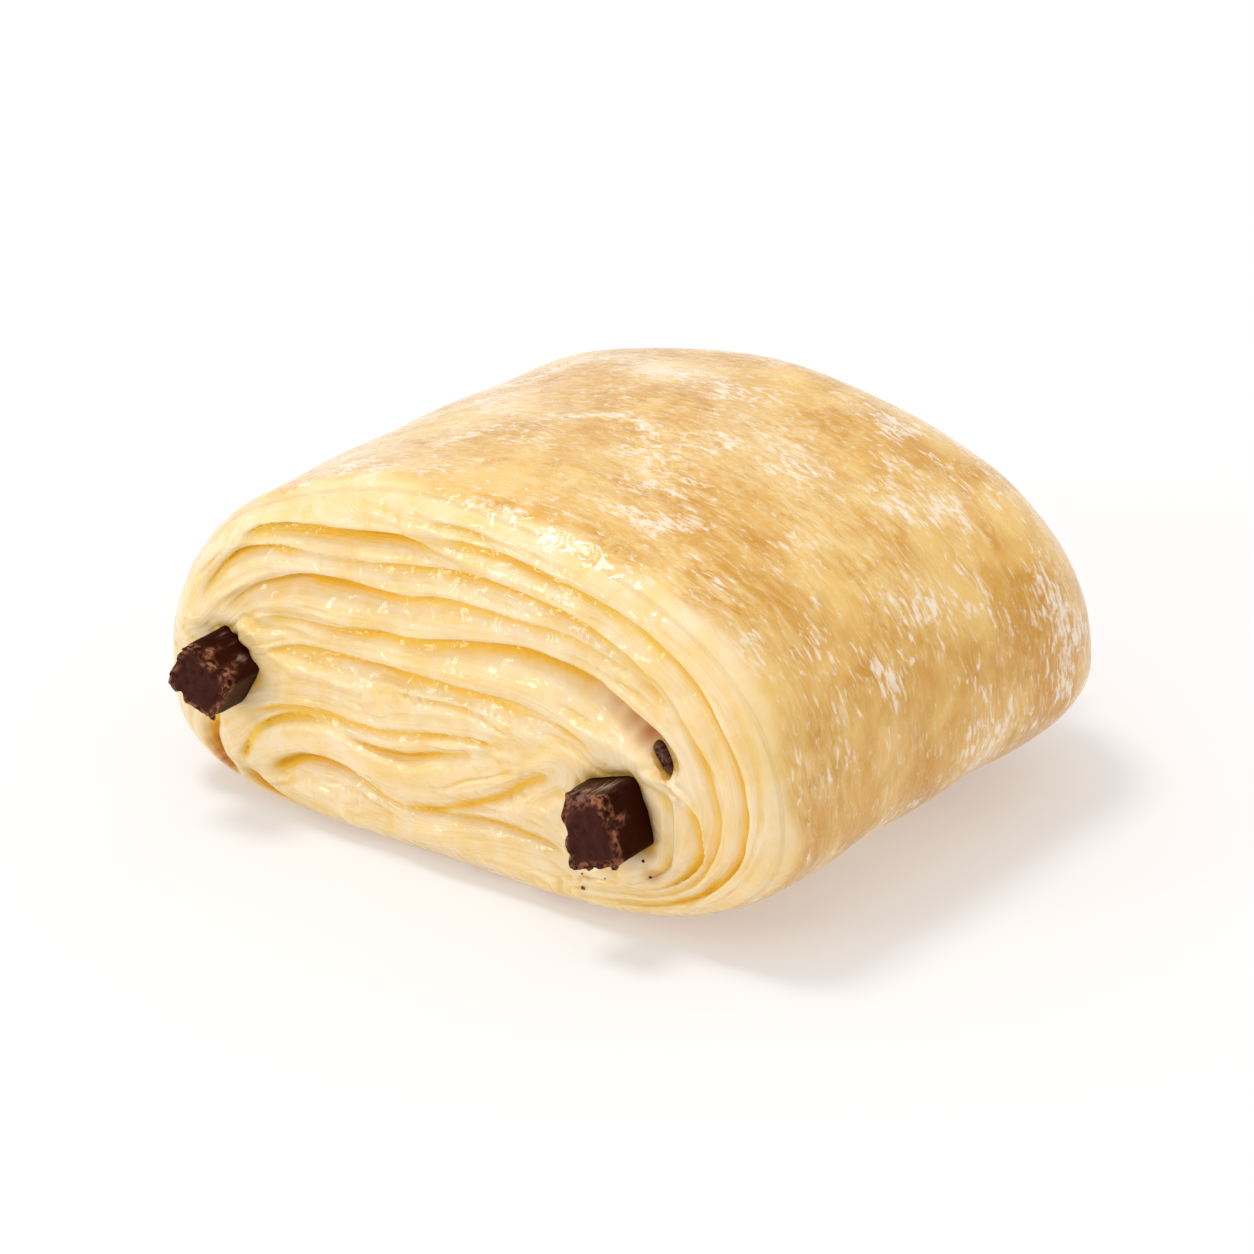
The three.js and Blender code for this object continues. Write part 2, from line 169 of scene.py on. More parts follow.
# The folds on the ends. The dough outside a fold's line hangs over it as a lip, and the next layer slopes
# out of it over the width of its floor. Folds lean outwards with their depth, join each other smoothly and
# run out over FOLD_END at both ends. layer counts the wraps inwards from the skin, and each station is x, z
# and the fold's depth there.
FOLD_LEAN = 0.45
FOLD_JOIN = 3
FOLD_END = 2.5
FLOOR_POWER = 1.7
STEPS_A_STATION = 5
FOLDS = {
    "skin_slit": dict(lip=1.0, floor=2.2, layer=4, stations=[
        (-27, 26.5, 0), (-23.5, 29.2, 1.2), (-17.8, 30.9, 1.8), (-11, 32, 2.2), (-7, 32.5, 2.4),
        (-3.5, 32.3, 0.8), (1, 31.9, 0)]),
    "outer_wrap": dict(lip=1.2, floor=1.8, layer=3.5, stations=[
        (-6, 34, 0), (1, 33.8, 1), (6, 33.6, 1.6), (15.6, 32.2, 0.9), (21.4, 30.2, 0.8), (25.7, 27.2, 1),
        (28.9, 22.8, 1.3), (30.9, 18, 1.6), (31.2, 14.4, 2), (30.2, 10.8, 2), (26.7, 6.9, 1.5),
        (21, 3.9, 0.8), (14, 2.6, 0)]),
    "second_wrap": dict(lip=1.2, floor=2.0, layer=7, stations=[
        (-31.7, 19.4, 0.3), (-29.4, 22.8, 0.8), (-26.2, 25.9, 1.6), (-21.8, 27.6, 1.4), (-16.6, 28.4, 0.6),
        (-11.2, 29.2, 0.8), (-5, 30.2, 1.3), (2.4, 30.7, 1.5), (10.9, 30.3, 1.2), (15.5, 29.2, 1),
        (19.9, 27.4, 0.8), (23.2, 25, 0.8), (26.6, 20.3, 1), (28.2, 16, 1.3), (28.4, 13.5, 1.4),
        (27.6, 10.8, 1.3), (25.5, 7.5, 1), (21, 4.9, 0.8), (14, 3.6, 0)]),
    "third_wrap": dict(lip=1.3, floor=3.0, layer=10, stations=[
        (-28.5, 19.8, 0.3), (-24.8, 22.7, 1.2), (-21, 24.5, 1.8), (-18, 25.5, 2.6), (-13, 26.3, 3),
        (-10.3, 26.5, 2.6), (-6, 26.9, 1.2), (-2, 27.8, 1), (6.4, 27.9, 0.9), (11.7, 28, 1.1),
        (16.8, 27, 1), (20.9, 25.6, 0.8), (24, 23.5, 0.3)]),
    "cave": dict(lip=1.5, floor=3.0, layer=14, stations=[
        (-24, 20.4, 0.8), (-18, 21.2, 0.7), (-14.2, 21.6, 0.8), (-8.3, 22.5, 1.4), (-4.4, 23.1, 1.6),
        (1.4, 24.2, 2.2), (7, 24.9, 3), (10.7, 24.7, 3.6), (14.5, 24, 4.2), (19.1, 22.2, 4.4),
        (21.2, 21.1, 4.0), (22.5, 20.2, 3.6), (23.7, 18.4, 2.6), (24.1, 17.2, 0.8)]),
    "core_top": dict(lip=1.2, floor=2.6, layer=17, stations=[
        (-24, 17, 0.6), (-19.1, 18.5, 1.1), (-14.2, 18.9, 1.5), (-7.5, 19.2, 1.8), (-5.4, 19.3, 1.2),
        (-0.7, 19.5, 1.1), (6.9, 20, 0.8), (12.2, 19, 0.9), (16.3, 18, 0.3)]),
    "core_middle": dict(lip=0.9, floor=1.5, layer=20, stations=[
        (-29.5, 7.2, 0.8), (-26.7, 9.6, 1), (-22.5, 11.7, 1), (-17.5, 12.6, 0.9), (-11.6, 12.7, 0.8),
        (-7.6, 13.2, 0.8), (-0.5, 14.7, 0.8), (6.4, 15.8, 0.2)]),
    "curl_back": dict(lip=1.1, floor=1.6, layer=22, stations=[
        (-26.5, 4.4, 1.6), (-25.1, 7, 2), (-23.1, 9.8, 1.8), (-19.6, 11.5, 1.4), (-16.3, 11.9, 0.6),
        (-13.6, 11.4, 0.6), (-10.6, 10.9, 1.2), (-6.7, 11.2, 1.4), (-3.1, 12.3, 1.2), (0.2, 13.4, 0.9),
        (2.7, 14, 0.2)]),
    "curl_hollow": dict(lip=1.2, floor=2.6, layer=24, stations=[
        (-23.3, 4.6, 1.2), (-21.4, 6, 2), (-18.5, 7.4, 2.6), (-14.6, 7.8, 2.2), (-11.7, 7.2, 1.2),
        (-7.8, 6.1, 1), (-4.1, 6.5, 1.2), (0.6, 8.6, 1.2), (4.1, 10.6, 1.4), (7.5, 12.8, 1),
        (11, 14.6, 0.4)]),
    "under_fold": dict(lip=0.9, floor=1.6, layer=27, stations=[
        (-6, 6, 0.6), (0.6, 7.2, 1), (5.2, 7.5, 1), (9.8, 7.2, 0.8), (12.6, 6.4, 0.3)]),
    "curl_lobe": dict(lip=0.9, floor=1.4, layer=29, stations=[
        (-26.7, 4.6, 0.8), (-24.6, 3.4, 1.6), (-23, 2.5, 1.5), (-20.5, 1.8, 1), (-16, 1.4, 0)]),
    "right_gap": dict(lip=0.8, floor=1.2, layer=10.5, stations=[
        (24.5, 16.6, 0.6), (26, 14.2, 1.8), (26.4, 12.5, 2), (26.2, 10.4, 2.2), (24.9, 8.4, 2),
        (22.2, 6.3, 1.2), (18.8, 4.9, 0.5), (14, 4.3, 0)]),
    "right_inner": dict(lip=0.8, floor=1.1, layer=14, stations=[
        (21.8, 17.5, 0.4), (23.1, 15.8, 0.7), (23.8, 13.9, 0.8), (23.8, 10.6, 0.8), (22.2, 7.8, 0.7),
        (18.8, 5.8, 0.4)]),
    "right_edge": dict(lip=1.0, floor=1.2, layer=2, stations=[
        (22, 32, 0.3), (26.5, 29.3, 0.6), (29.8, 26, 0.7), (31.9, 21.8, 0.7), (32.8, 16.8, 0.7),
        (32.2, 12.6, 0.6), (29.8, 8.4, 0.6), (25.5, 5.3, 0.3)]),
    "tear": dict(lip=0.4, floor=0.8, layer=12, stations=[
        (21.4, 17.4, 0.4), (23.1, 16.7, 1.2), (24.3, 16.1, 1.2), (25.4, 15.4, 0.4)]),
    "seam": dict(lip=0.7, floor=2.4, layer=19, stations=[
        (-28.2, 10.4, 0.8), (-29, 8.4, 1.8), (-29.6, 6.5, 2.6), (-28.9, 5.1, 2.8), (-27.4, 3.9, 2.6),
        (-26.2, 2.6, 1.6)]),
    "core_crease": dict(lip=0.4, floor=1.0, layer=18.2, stations=[
        (-9, 17.2, 0.2), (-4.6, 17.4, 0.7), (0.4, 17.9, 0.7), (5.5, 17.6, 0.2)]),
    "wrap_crease": dict(lip=0.35, floor=0.9, layer=8.5, stations=[
        (-14, 27.6, 0.2), (-8.6, 28.4, 0.6), (-2, 29.2, 0.7), (5, 29.3, 0.6), (12, 28.9, 0.2)]),
    "band_crease": dict(lip=0.35, floor=0.8, layer=1.6, stations=[
        (-12, 35.2, 0.2), (-3, 35.3, 0.5), (8, 34.9, 0.6), (16, 33.6, 0.2)]),
}

# Where the dough stands proud of the shown end: x, z, half width, half height and rise. The first three lie
# beside the left stick, and the next three beside the right one.
SWELLINGS = [
    (-25.2, 18.0, 1.0, 0.9, 1.6), (-22.6, 15.6, 2.0, 2.0, 1.6), (-25.4, 9.8, 2.6, 3.4, 2.6),
    (12.3, 14.4, 0.9, 0.9, 1.2), (17.6, 18.6, 4.0, 1.5, 0.8), (24.0, 12.0, 1.2, 3.0, 0.6),
    (-15.0, 9.6, 8.0, 1.6, 0.5),
]

# Where the dough is crumpled: x, z, half width, half height and how deep the crumples are. They come in two
# grains: their share of the depth, crumples per millimetre along x and z, and a seed.
CRUMPLES = [(-9.0, 16.0, 9.0, 2.6, 0.35), (7.5, 12.5, 4.5, 4.5, 0.4), (-14.0, 5.0, 6.0, 2.0, 0.35)]
CRUMPLE_GRAINS = [(1.0, 0.75, 1.1, 61.0), (0.5, 1.5, 2.1, 63.0)]

# Brown marks on the dough of the front end: x, z, radius, strength. The first six, along the seam, and the
# last two, by the right stick, are chocolate rubbed off; the five between, at the deep end of the cave above
# the broken piece, are painted shade. Each mark fades out over the share of its radius on the next line.
SMEAR_AND_SHADE_SPREAD = 1.6
SMEARS_AND_SHADE = [
    (-30.9, 6.6, 0.6, 0.25), (-30.6, 5.2, 0.7, 0.5), (-30.1, 4.4, 0.6, 0.75), (-29.5, 3.7, 0.6, 0.9),
    (-28.8, 3.2, 0.6, 0.85), (-28.1, 2.8, 0.5, 0.7), (16.6, 22.8, 1.0, 0.3), (18.6, 21.8, 1.2, 0.5),
    (20.4, 20.9, 1.2, 0.8), (21.6, 19.8, 0.8, 0.9), (22.6, 18.0, 0.6, 0.6), (14.2, 5.0, 0.5, 0.3),
    (21.4, 7.2, 0.9, 0.45),
]

# The broken ends of the sticks: the roughness as height, bumps per millimetre and a step of the seed, how far
# a break reaches in everywhere, more of it on the crumbled edge and at a chip, and its limit. WEAR is the
# share by which a stick is thinner near its ends, and SIDE_BUMP the unevenness of its sides.
BREAKS = [(0.5, 0.5, 0), (0.28, 1.3, 2), (0.12, 3.1, 4)]
BREAK_DEPTH = 0.4
EDGE_BREAK = 0.8
CHIP_BREAK = 1.6
DEEPEST_BREAK = 2.6
WEAR = 0.045
SIDE_BUMP = 0.03

# Places on the sticks. Chips are on the shown end (across, up, radius), and blooms on the top (across, y,
# radius). A bloom's grey film is partly bloom and partly a painted sheen of the light above.
RIGHT_CHIPS = [(-2.4, 3.0, 2.3), (-0.2, 3.3, 1.6), (3.0, 0.6, 0.9), (-3.0, 0.0, 0.7)]
RIGHT_BLOOMS_AND_SHEEN = [(0.0, -33.6, 2.6), (1.0, -31.4, 2.4)]
LEFT_CHIPS = [(-0.9, -2.8, 0.6), (-1.0, 2.6, 0.7), (1.5, 2.6, 1.1)]
LEFT_BLOOMS_AND_SHEEN = [(-1.4, -30.2, 1.1), (1.1, -30.8, 0.9)]

# Crumbs that lie on the shown end (x, z, radius), and crumbs that hang on a stick's broken edge (stick,
# across, y, up, radius).
LYING_CRUMBS = [
    (21.6, 8.6, 0.15), (14.6, 3.6, 0.2), (22.0, 6.9, 0.13), (14.9, 5.4, 0.1), (17.4, 5.6, 0.09),
]
HANGING_CRUMBS = [
    (RIGHT_STICK, -1.3, -33.6, -3.45, 0.42), (RIGHT_STICK, 1.8, -33.6, -3.5, 0.36),
    (LEFT_STICK, 2.7, -33.7, -2.5, 0.3),
]


# ---------------------------------------------------------------- numbers

def smooth_step(value, low, high):
    share = np.clip((value - low) / (high - low), 0, 1)
    return share * share * (3 - 2 * share)


def blend(low, high, share):
    return low + (high - low) * share


def noise(*axes, seed=0.0):
    """Smooth values from -1 to 1 that change about once a unit along each axis, the same on each run."""
    points = np.stack(np.broadcast_arrays(*axes), axis=-1).astype(float)
    cell = np.floor(points)
    share = points - cell
    share = share * share * (3 - 2 * share)
    total = np.zeros(points.shape[:-1])
    for corner in itertools.product((0, 1), repeat=points.shape[-1]):
        spread = (cell + corner) @ np.array((127.1, 311.7, 74.7))[:points.shape[-1]] + seed
        value = np.sin(spread) * 43758.5453
        weight = np.prod(np.where(corner, share, 1 - share), axis=-1)
        total += weight * (2 * (value - np.floor(value)) - 1)
    return total


def thin_lines(values, width):
    """1 along the lines where the values pass through zero, falling to 0 at the width."""
    return np.clip(1 - np.abs(values) / width, 0, 1) ** 1.5


def catmull_rom(stations, steps):
    """A smooth curve through the stations, with so many steps between two of them."""
    points = np.array(stations, float)
    points = np.vstack([2 * points[0] - points[1], points, 2 * points[-1] - points[-2]])
    t = np.linspace(0, 1, steps, endpoint=False)[:, None]
    curve = []
    for before, start, end, after in zip(points, points[1:], points[2:], points[3:]):
        curve.append(0.5 * (
            2 * start + (end - before) * t + (2 * before - 5 * start + 4 * end - after) * t ** 2
            + (3 * start - before - 3 * end + after) * t ** 3))
    return np.vstack(curve + [points[-2:-1]])


# ---------------------------------------------------------------- the shape of the dough

def section_radius(angle):
    """How far the skin is from the middle of the widest line, in the direction of an angle."""
    cos, sin = np.cos(angle), np.sin(angle)
    rightness = (1 + cos) / 2
    rise = np.where(sin > 0, HEIGHT - BELLY, BELLY + SINK)
    power = np.where(sin > 0, blend(*TOP_SQUARENESS, rightness), blend(*UNDER_SQUARENESS, rightness))
    return (np.abs(cos / HALF_WIDTH) ** power + np.abs(sin / rise) ** power) ** (-1 / power)


def lumps(x, y, z):
    """The slow unevenness of hand-rolled dough."""
    return (
        0.22 * np.sin(0.21 * x + 0.13 * y + 1.1) * np.cos(0.17 * y - 0.19 * z + 0.4)
        + 0.14 * np.sin(0.37 * y + 0.29 * z + 0.16 * x + 2.3)
    )


def fold_line(stations):
    """A fold's line, with its depth running out at both ends."""
    line = catmull_rom(stations, STEPS_A_STATION)
    from_ends = np.minimum(*(np.hypot(*(line[:, :2] - line[end, :2]).T) for end in (0, -1)))
    line[:, 2] = np.maximum(line[:, 2], 0) * smooth_step(from_ends, 0, FOLD_END)
    return line


def beside_line(line, x, z):
    """The distance of each point from a fold's line, positive on the lip's side, and the depth there."""
    nearest = np.full(x.shape, np.inf)
    side = np.ones_like(x)
    depth = np.zeros_like(x)
    for (from_x, from_z, from_depth), (to_x, to_z, to_depth) in zip(line, line[1:]):
        run_x, run_z = to_x - from_x, to_z - from_z
        along = ((x - from_x) * run_x + (z - from_z) * run_z) / (run_x ** 2 + run_z ** 2)
        along = np.clip(along, 0, 1)
        off_x = x - from_x - along * run_x
        off_z = z - from_z - along * run_z
        distance = np.hypot(off_x, off_z)
        closer = distance < nearest
        nearest = np.where(closer, distance, nearest)
        side = np.where(closer, np.sign(run_x * off_z - run_z * off_x), side)
        depth = np.where(closer, blend(from_depth, to_depth, along), depth)
    return nearest * side, depth


def layer_weight(distance):
    """How much the layer at a fold counts for a point at a distance from it."""
    return 1 / (distance ** 1.4 + 0.05)


def end_relief(x, z, inset):
    """The depth of the folds, the layer of dough and the wrinkles, at each point of an end."""
    joined = np.zeros_like(x)
    weights = layer_weight(inset)
    layers = np.zeros_like(x)
    wrinkles = np.zeros_like(x)
    wrinkle_weights = np.zeros_like(x)
    wander = WRINKLE_WANDER * noise(x * 0.16, z * 0.16, seed=51.0)
    for number, fold in enumerate(FOLDS.values()):
        side, depth = beside_line(fold_line(fold["stations"]), x, z)
        lip = 1 - np.sqrt(1 - np.clip(1 - side / fold["lip"], 0, 1) ** 2)
        floor = np.clip(1 + side / fold["floor"], 0, 1) ** FLOOR_POWER
        joined += (depth * np.where(side > 0, lip, floor)) ** FOLD_JOIN
        weight = layer_weight(np.abs(side))
        weights += weight
        layers += weight * fold["layer"]
        near = (side ** 2 + 0.5) ** -1.5
        across = side * WRINKLES_PER_MM + wander
        wrinkles += near * noise(across, x * WRINKLE_RUN, z * WRINKLE_RUN, seed=number * 3.7)
        wrinkle_weights += near
    return joined ** (1 / FOLD_JOIN), layers / weights, wrinkles / wrinkle_weights


def evened(values, edges, passes):
    """The values at a mesh's vertices, moved half-way to the mean of their neighbours' so many times."""
    neighbours = np.bincount(edges.ravel(), minlength=len(values))
    for _ in range(passes):
        total = np.bincount(edges[:, 0], values[edges[:, 1]], len(values))
        total += np.bincount(edges[:, 1], values[edges[:, 0]], len(values))
        values = (values + total / neighbours) / 2
    return values


def socket_depth(stick, x, z):
    """How deep the rounded rim round a stick is at each point of an end."""
    turn = math.radians(stick["turn"])
    across = (x - stick["x"]) * math.cos(turn) + (z - stick["z"]) * math.sin(turn)
    up = (z - stick["z"]) * math.cos(turn) - (x - stick["x"]) * math.sin(turn)
    out_x = np.maximum(np.abs(across) - stick["width"] / 2 + SOCKET_CORNER, 0)
    out_z = np.maximum(np.abs(up) - stick["height"] / 2 + SOCKET_CORNER, 0)
    share = np.clip(1 - (np.hypot(out_x, out_z) - SOCKET_CORNER) / SOCKET_RIM, 0, 1)
    return SOCKET_DEPTH * (1 - np.cos(share * math.pi / 2))


def fine_relief(x, y, z, wrinkle):
    """The wrinkles, the crumples and the soft swells at each point of an end."""
    lines = thin_lines(wrinkle, LINE_WIDTH) * smooth_step(noise(x * 0.12, z * 0.2, seed=45.0), -0.5, 0.3)
    relief = WRINKLE_HEIGHT * wrinkle + LINE_HEIGHT * lines
    for crumple_x, crumple_z, wide, high, rise in CRUMPLES:
        mask = np.exp(-((x - crumple_x) / wide) ** 2 - ((z - crumple_z) / high) ** 2)
        for part, across, up, seed in CRUMPLE_GRAINS:
            relief += part * rise * mask * (0.5 - np.abs(noise(x * across, z * up, seed=seed)))
    for height, across, up, along, seed in SOFT_SWELLS:
        relief += height * noise(x * across, z * up, y * along, seed=seed)
    return relief


def swellings(x, z):
    """How far the front end stands proud beside the sticks."""
    rise = np.zeros_like(x)
    for swell_x, swell_z, wide, high, height in SWELLINGS:
        rise += height * np.exp(-((x - swell_x) / wide) ** 2 - ((z - swell_z) / high) ** 2)
    return rise


def skin_unevenness(x, y, z, share):
    """The slow lumps of the roll, and the small ones of its skin and its foot. share is 1 on the ends."""
    foot = FOOT_BUMP * noise(y * 0.17, z * 0.05, seed=8.0) * smooth_step(FOOT_HEIGHT - z, 0, 9)
    small = SKIN_BUMP * noise(x * 0.16, y * 0.2, z * 0.2, seed=1.0)
    return lumps(x, y, z) * (1 - share * 0.5) + (1 - share) * (small + foot)


def smears_and_shade(x, z):
    """The brown marks on the front end: chocolate rubbed off, and painted shade at the deep end of the cave.
    """
    smear_and_shade = np.zeros_like(x)
    for mark_x, mark_z, radius, strength in SMEARS_AND_SHADE:
        reach = SMEAR_AND_SHADE_SPREAD * radius
        distance = np.hypot(x - mark_x, z - mark_z)
        smear_and_shade = np.maximum(smear_and_shade, strength * smooth_step(reach - distance, 0, reach))
    return smear_and_shade


def shape_dough(cube, edges):
    """Turns points of the cube from -1 to 1 into points of the dough, and gives what its material reads.
    The cube's faces at y = -1 and 1 become the ends, and its other four faces the skin."""
    ring = np.maximum(np.abs(cube[:, 0]), np.abs(cube[:, 2]))
    along = np.abs(cube[:, 1])
    is_front = cube[:, 1] < 0
    is_end = along > 1 - TINY
    angle = np.arctan2(cube[:, 2] * CORNER_SLOPE, cube[:, 0])
    cos, sin = np.cos(angle), np.sin(angle)
    radius = section_radius(angle)
    back_shoulder = blend(BACK_SHOULDER_TOP, BACK_SHOULDER_SIDE, cos * cos)
    shoulder = np.where(is_front, FRONT_SHOULDER, back_shoulder)
    end = np.where(is_front, FRONT, BACK)
    inward = np.where(is_front, 1, -1)

    # How far in from the skin a point lies, and how far in from the end.
    start_inset = shoulder * (1 - math.cos(SHOULDER_TURN))
    turn = np.clip((along - STRAIGHT_SHARE) / (1 - STRAIGHT_SHARE), 0, 1) * SHOULDER_TURN
    inset = np.where(is_end, blend(radius, start_inset, ring), shoulder * (1 - np.cos(turn)))
    rounding = np.clip(1 - inset / shoulder, 0, 1)
    setback = np.where(
        is_end, shoulder * (1 - np.sqrt(1 - rounding ** 2)), shoulder * (1 - np.sin(turn)))
    straight = blend(np.abs(end), shoulder, along / STRAIGHT_SHARE)
    setback = np.where(along < STRAIGHT_SHARE, straight, setback)

    length_share = (end + inward * setback - FRONT) / (BACK - FRONT)
    droop = np.clip(length_share, 0, 1) ** DROOP_POWER
    x = MIDDLE + (radius - inset) * cos * (1 + BACK_SPREAD * droop)
    z = (BELLY + (radius - inset) * sin) * (1 - BACK_DROOP * droop)
    y = end + inward * setback

    # The folds, the fine layers and the sockets of the sticks, which fade out over the shoulder.
    fold = np.zeros_like(x)
    layer = np.zeros_like(x)
    wrinkle = np.zeros_like(x)
    share = smooth_step(inset, SHOULDER_FADE[0] * shoulder, SHOULDER_FADE[1] * shoulder)
    for side in (is_front, ~is_front):
        rows = np.flatnonzero((share > 0) & side)
        fold[rows], layer[rows], wrinkle[rows] = end_relief(x[rows], z[rows], inset[rows])
    fold *= share
    fine = fine_relief(x, y, z, wrinkle)
    swelling = swellings(x, z) * is_front
    reach = np.maximum(np.hypot(x - MIDDLE, z - BELLY), 6)
    x = x + FOLD_LEAN * fold * (x - MIDDLE) / reach
    z = z + FOLD_LEAN * fold * (z - BELLY) / reach
    sockets = np.zeros_like(x)
    for stick in (RIGHT_STICK, LEFT_STICK):
        sockets = np.maximum(sockets, socket_depth(stick, x + SHIFT_X, z))
    crown = FACE_CROWN * share * np.sqrt(np.clip(inset / radius, 0, 1))
    relief = fold + (sockets - swelling + fine) * share
    y = y + inward * (relief - crown)
    # How far each point lies below the evened relief: the hollows that are painted a deeper yellow as shade.
    hollows = sum((relief - evened(relief, edges, passes)) / depth for passes, depth in HOLLOWS)
    hollows = evened(hollows, edges, HOLLOW_PASSES)

    swell = skin_unevenness(x, y, z, share)
    x = x + swell * cos * SWELL_ACROSS
    z = np.maximum(z + swell * sin * np.clip(z / LOW_SKIN, 0, 1), 0)

    # The way round the roll in millimetres, which starts and ends underneath.
    around = np.mod(angle + math.pi / 2, 2 * math.pi) * SKIN_RADIUS
    skin_start = setback + SKIN_START_WANDER * noise(around * 0.2, y * 0.4, seed=4.0)
    on_end = share > 0
    # What the material reads. The deeper yellow of the hollows and of the rims round the sticks is painted
    # shade; the brown marks are chocolate rubbed off, and painted shade at the deep end of the cave and round
    # the sticks.
    traits = dict(
        end=1 - smooth_step(skin_start, *SKIN_START) * (share < 0.01),
        hollow_shade=np.clip(hollows + SOCKET_SHADE * np.sqrt(sockets / SOCKET_DEPTH) * share, 0, 1),
        smear_and_shade=np.maximum(smears_and_shade(x, z) * is_front, RUBBED_OFF_AND_SHADE * share * sockets / SOCKET_DEPTH),
        grain=np.stack([
            np.where(on_end, layer, 0), np.where(on_end, x, around), np.where(on_end, z, y)], axis=1),
    )
    return np.stack([x + SHIFT_X, y, z], axis=1), traits


# ---------------------------------------------------------------- meshes

def divided_cube(cells, finer_front=False):
    """A cube from -1 to 1 with so many cells along each axis, twice as many on the side that faces -Y."""
    bm = bmesh.new()
    bmesh.ops.create_cube(bm, size=2)
    for axis, count in enumerate(cells):
        edges = [e for e in bm.edges if abs(abs((e.verts[0].co - e.verts[1].co)[axis]) - 2) < TINY]
        bmesh.ops.subdivide_edges(bm, edges=edges, cuts=count - 1, use_grid_fill=True)
    if finer_front:
        edges = [e for e in bm.edges if max(v.co.y for v in e.verts) < TINY - 1]
        bmesh.ops.subdivide_edges(bm, edges=edges, cuts=1, use_grid_fill=True)
    return bm


def positions_of(bm):
    return np.array([v.co[:] for v in bm.verts])


def finish_mesh(name, bm, points, traits, sharp_angle=None, softened=()):
    """Moves a bmesh's vertices to points in millimetres, and makes it a mesh with smooth faces."""
    for vert, point in zip(bm.verts, points * MM):
        vert.co = point
    if len(softened):
        bm.verts.ensure_lookup_table()
        verts = [bm.verts[i] for i in softened]
        for _ in range(SOFTENINGS):
            bmesh.ops.smooth_vert(
                bm, verts=verts, factor=0.5, use_axis_x=True, use_axis_y=True, use_axis_z=True)
    bmesh.ops.recalc_face_normals(bm, faces=bm.faces)
    mesh = bpy.data.meshes.new(name)
    bm.to_mesh(mesh)
    bm.free()
    for trait, values in traits.items():
        is_vector = values.ndim == 2
        attribute = mesh.attributes.new(trait, "FLOAT_VECTOR" if is_vector else "FLOAT", "POINT")
        field = "vector" if is_vector else "value"
        attribute.data.foreach_set(field, values.astype(np.float32).ravel())
    mesh.shade_smooth()
    if sharp_angle:
        mesh.set_sharp_from_angle(angle=math.radians(sharp_angle))
    return mesh


def new_piece(name, mesh, material=None):
    piece = bpy.data.objects.new(name, mesh)
    bpy.context.scene.collection.objects.link(piece)
    if material:
        mesh.materials.append(material)
    return piece


def cut(piece, cutters):
    """Cuts the cutters out of a piece, and removes them."""
    for cutter in cutters:
        modifier = piece.modifiers.new(cutter.name, "BOOLEAN")
        modifier.operation = "DIFFERENCE"
        modifier.solver = "MANIFOLD"
        modifier.object = cutter
    bpy.context.view_layer.update()
    evaluated = piece.evaluated_get(bpy.context.evaluated_depsgraph_get())
    mesh = bpy.data.meshes.new_from_object(evaluated)
    piece.modifiers.clear()
    piece.data = mesh
    for cutter in cutters:
        bpy.data.objects.remove(cutter)


def stick_section(cube, stick, corner_power, grow=0.0):
    """Where points of a cube lie across a stick's rounded square section, before it is turned."""
    size = np.maximum(np.abs(cube[:, 0]), np.abs(cube[:, 2]))
    rim = (np.abs(cube[:, 0]) ** corner_power + np.abs(cube[:, 2]) ** corner_power) ** (1 / corner_power)
    round_off = size / np.maximum(rim, TINY)
    across = cube[:, 0] * round_off * (stick["width"] / 2 + grow)
    up = cube[:, 2] * round_off * (stick["height"] / 2 + grow)
    return across, up


def turned(stick, across, y, up):
    """Points of a turned stick from their places along its own axes."""
    cos, sin = math.cos(math.radians(stick["turn"])), math.sin(math.radians(stick["turn"]))
    x = stick["x"] + across * cos - up * sin
    z = stick["z"] + across * sin + up * cos
    return np.stack(np.atleast_1d(x, y, z), axis=1)


def tunnel(name, stick, start, end, corner_power=TUNNEL_CORNER_POWER):
    """A solid that leaves air round a stick when it is cut out of the dough."""
    bm = divided_cube(TUNNEL_CELLS)
    cube = positions_of(bm)
    across, up = stick_section(cube, stick, corner_power, STICK_GAP)
    points = turned(stick, across, blend(start, end, (cube[:, 1] + 1) / 2), up)
    return new_piece(name, finish_mesh(name, bm, points, {}))


def make_dough(material):
    bm = divided_cube(CELLS, finer_front=True)
    cube = positions_of(bm)
    points, traits = shape_dough(cube, np.array([[v.index for v in edge.verts] for edge in bm.edges]))
    points = np.clip(points, *(np.array(corner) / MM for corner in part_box("dough")))
    on_front = (cube[:, 1] < TINY - 1) & (np.abs(cube[:, [0, 2]]).max(axis=1) < 1 - TINY)
    mesh = finish_mesh("laminated_dough", bm, points, traits, softened=np.flatnonzero(on_front))
    piece = new_piece("laminated_dough", mesh, material)
    past = STICK_HALF_LENGTH + PAST_THE_END
    cut(piece, [
        tunnel("right_tunnel", RIGHT_STICK, -past, past),
        tunnel("left_tunnel", LEFT_STICK, -past, past),
        tunnel("slit", SLIT, -past, FRAGMENT_NECK, SLIT_CORNER_POWER),
        tunnel("fragment_pocket", FRAGMENT, FRAGMENT_NECK - STICK_GAP, FRAGMENT_BACK + STICK_GAP),
    ])
    piece.data.set_sharp_from_angle(angle=math.radians(DOUGH_SHARP_ANGLE))
    return piece


def spots(places, *axes):
    """1 at the middle of each place and 0 outside its radius. A place is a point and a radius."""
    mask = np.zeros_like(axes[0])
    for *middle, radius in places:
        distance = np.sqrt(sum((axis - value) ** 2 for axis, value in zip(axes, middle)))
        mask = np.maximum(mask, smooth_step(radius - distance, 0, radius))
    return mask


